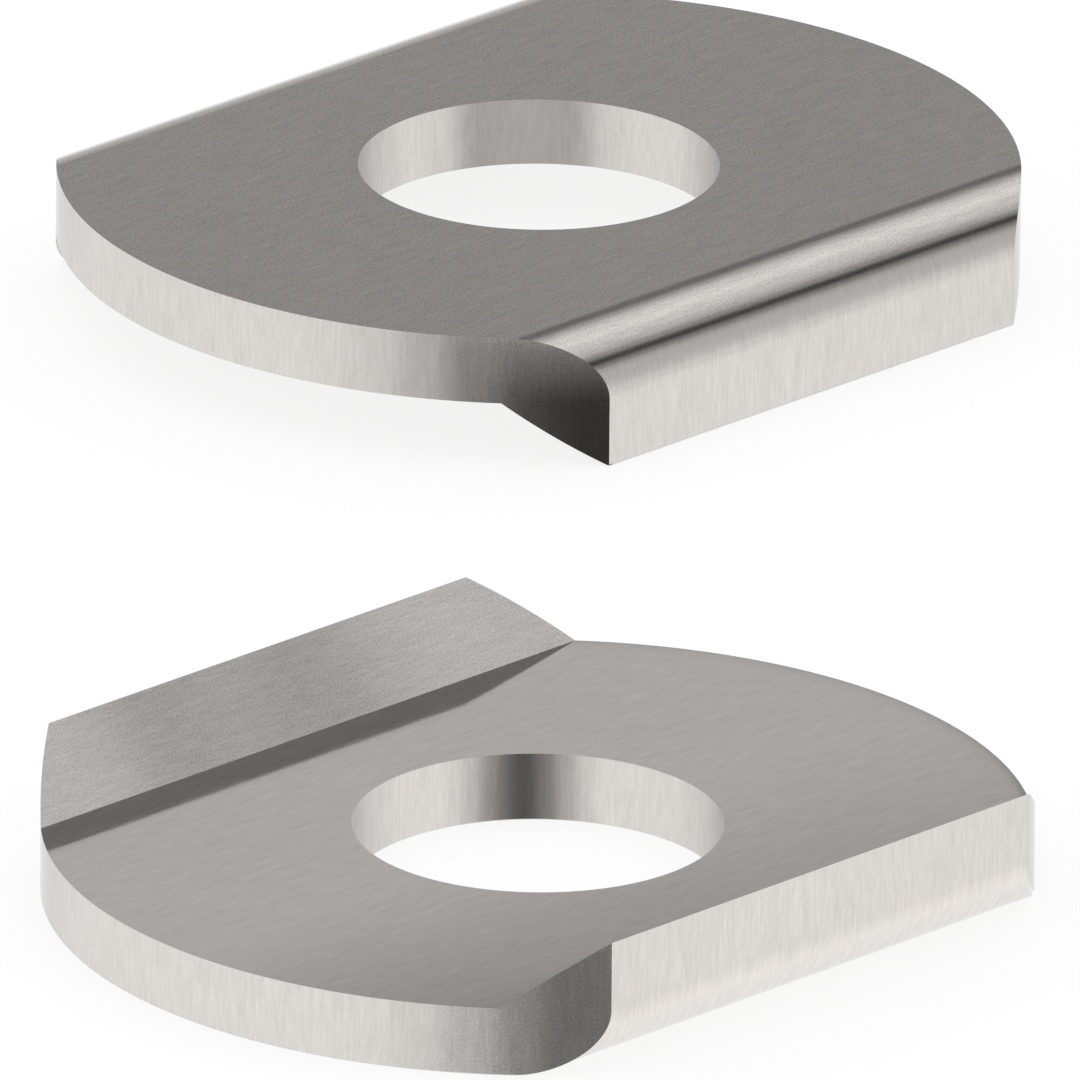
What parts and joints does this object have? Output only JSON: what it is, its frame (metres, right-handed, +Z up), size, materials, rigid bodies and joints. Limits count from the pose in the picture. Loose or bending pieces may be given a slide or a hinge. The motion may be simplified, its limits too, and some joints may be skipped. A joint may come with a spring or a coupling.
{
  "type": "pair of flanged washers",
  "caption": "Pair of flanged washers: round discs with two flats, a lip along each flat and a central hole, one lying lips down and the other lips up.",
  "frame": {"origin": "on the surface that both washers lie on, midway between the axes of their holes", "axes": "+Z up, along both holes; the lips run along Y, and the flats face +X and -X"},
  "size_m": [0.056, 0.0604, 0.0039],
  "materials": {
    "stainless_steel": "fine brushed"
  },
  "bodies": {
    "root": {"upper_washer": "stainless_steel", "lower_washer": "stainless_steel"}
  },
  "joints": []
}
